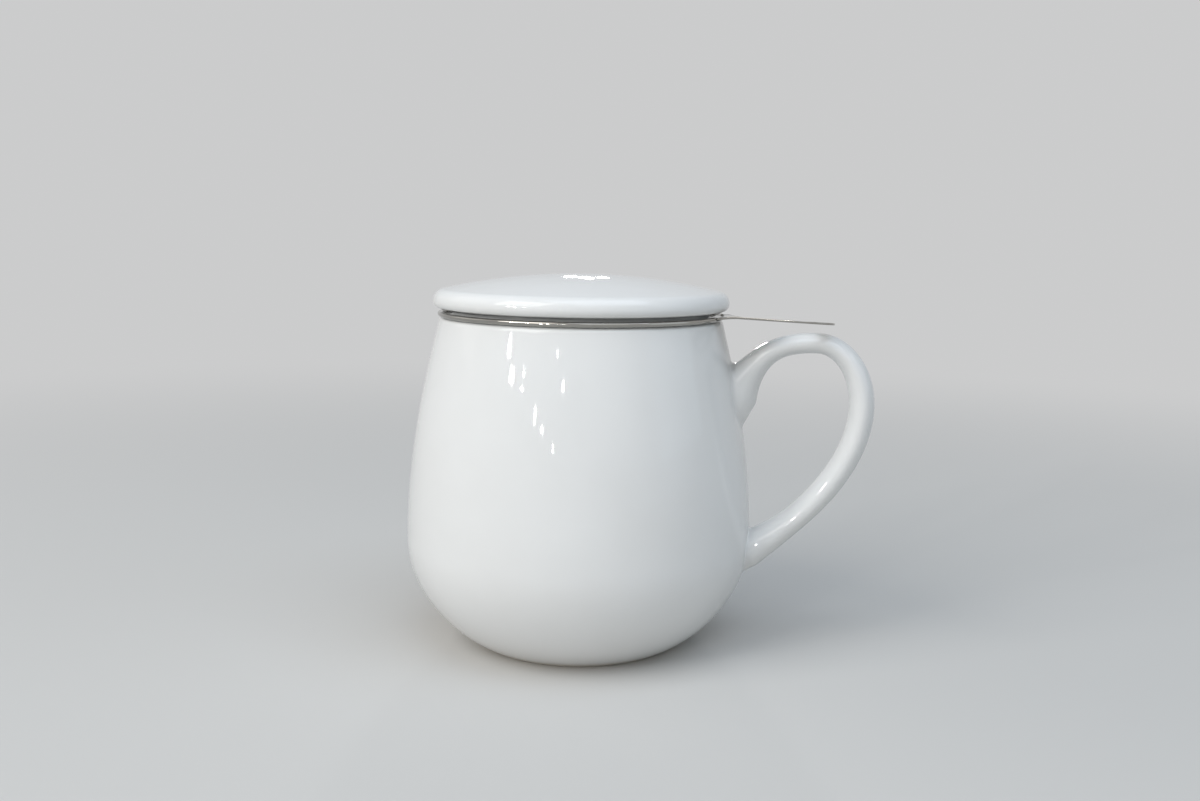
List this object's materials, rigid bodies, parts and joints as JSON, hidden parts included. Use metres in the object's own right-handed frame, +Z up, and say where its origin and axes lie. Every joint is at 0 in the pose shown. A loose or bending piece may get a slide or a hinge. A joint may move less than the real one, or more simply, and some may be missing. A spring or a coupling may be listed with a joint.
{
  "type": "tea mug with infuser and lid",
  "caption": "Pear-shaped white porcelain tea mug with an ear handle, a lift-out perforated steel infuser with a side tab, and a loose domed lid.",
  "frame": {"origin": "on the mug's axis, in the plane of the foot ring's bare face", "axes": "+Z up along the mug's axis, +X towards the handle"},
  "size_m": [0.1309, 0.098, 0.1042],
  "materials": {
    "porcelain": "glossy white glaze",
    "steel": "polished stainless sheet",
    "perforated_steel": "satin perforated stainless sheet"
  },
  "bodies": {
    "mug": {"mug_body": "porcelain", "mug_handle": "porcelain"},
    "infuser": {"infuser_rim": "steel", "infuser_wall": "perforated_steel", "infuser_base": "perforated_steel", "infuser_tab": "steel"},
    "lid": {"lid": "porcelain"}
  },
  "joints": [
    {"name": "infuser_lift", "type": "slide", "parent": "mug", "child": "infuser", "axis": [0, 0, 1], "range_m": [0, 0.08]},
    {"name": "lid_lift", "type": "slide", "parent": "infuser", "child": "lid", "axis": [0, 0, 1], "range_m": [0, 0.05]}
  ]
}
